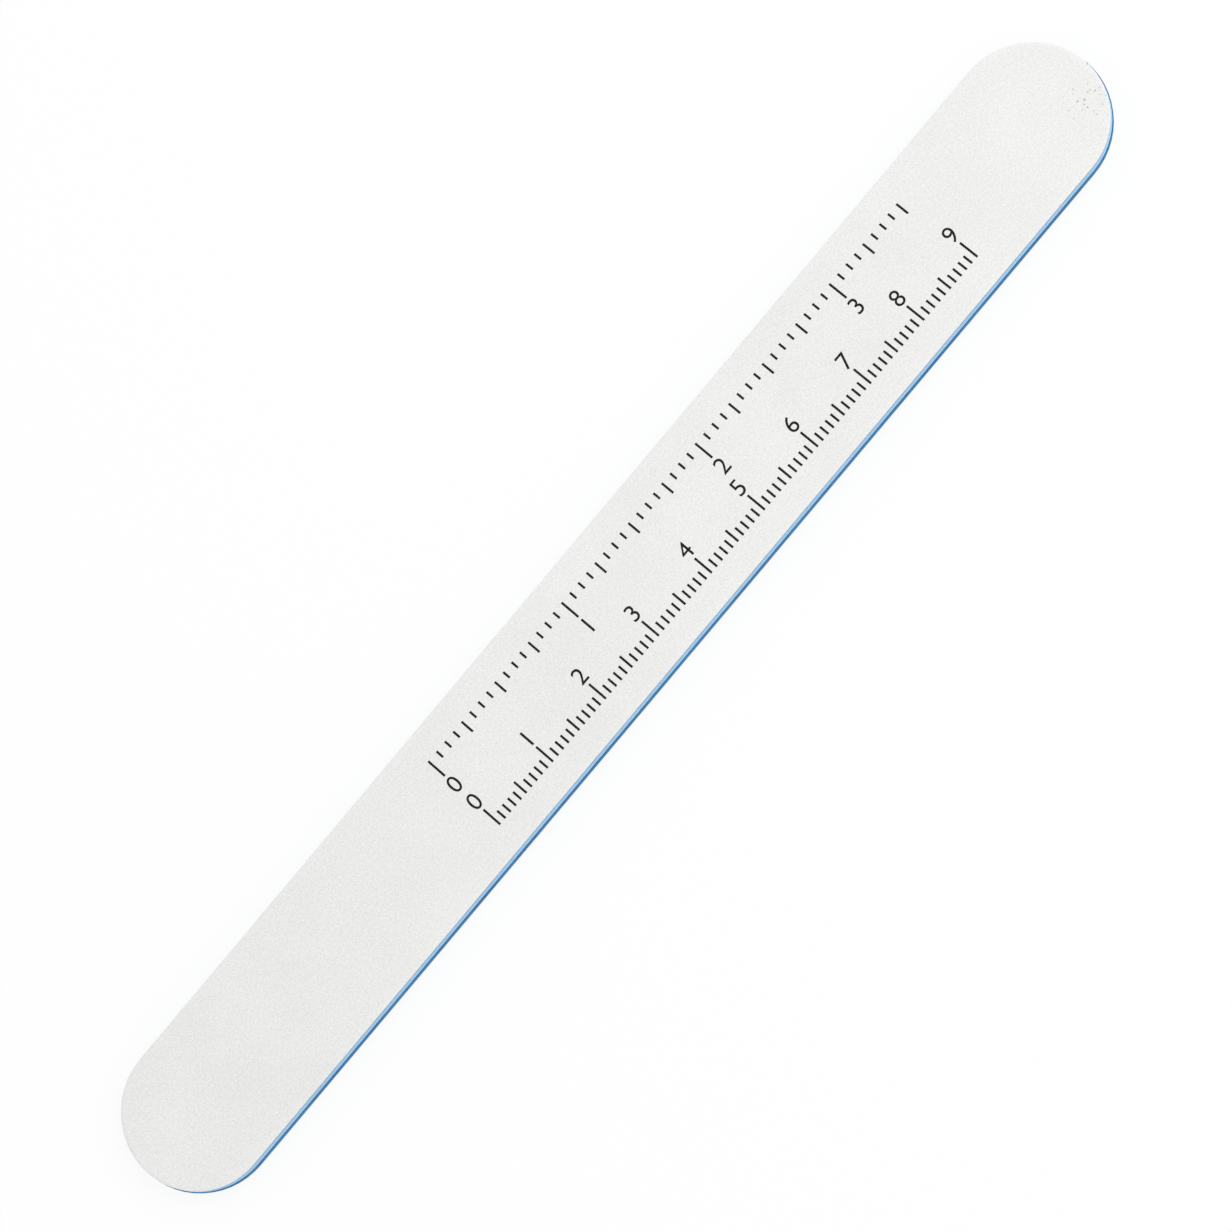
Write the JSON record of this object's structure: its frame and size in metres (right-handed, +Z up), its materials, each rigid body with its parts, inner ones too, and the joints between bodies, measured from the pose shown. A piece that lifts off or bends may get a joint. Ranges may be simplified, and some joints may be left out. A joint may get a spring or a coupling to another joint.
{
  "type": "nail file",
  "caption": "Long flat cushioned file with round ends: white abrasive sheets bonded over foam pads on a stiff plastic core, faces rolled down along the cut rim.",
  "frame": {"origin": "middle of the back working face, the face that the file lies on", "axes": "+X along the file towards the end that is at the upper right in the picture, +Y across it, +Z up through the layers, out of the front working face"},
  "size_m": [0.178, 0.02, 0.004],
  "materials": {
    "core": "satin",
    "adhesive": "satin",
    "foam": "matte",
    "paper": "matte",
    "make_coat": "matte",
    "grain": "matte",
    "ink": "matte"
  },
  "bodies": {
    "root": {"core_board": "core", "front_core_adhesive": "adhesive", "front_foam_pad": "foam", "front_sheet_adhesive": "adhesive", "front_backing_paper": "paper", "front_make_coat": "make_coat", "front_grain_coat": "grain", "back_core_adhesive": "adhesive", "back_foam_pad": "foam", "back_sheet_adhesive": "adhesive", "back_backing_paper": "paper", "back_make_coat": "make_coat", "back_grain_coat": "grain"}
  },
  "joints": []
}
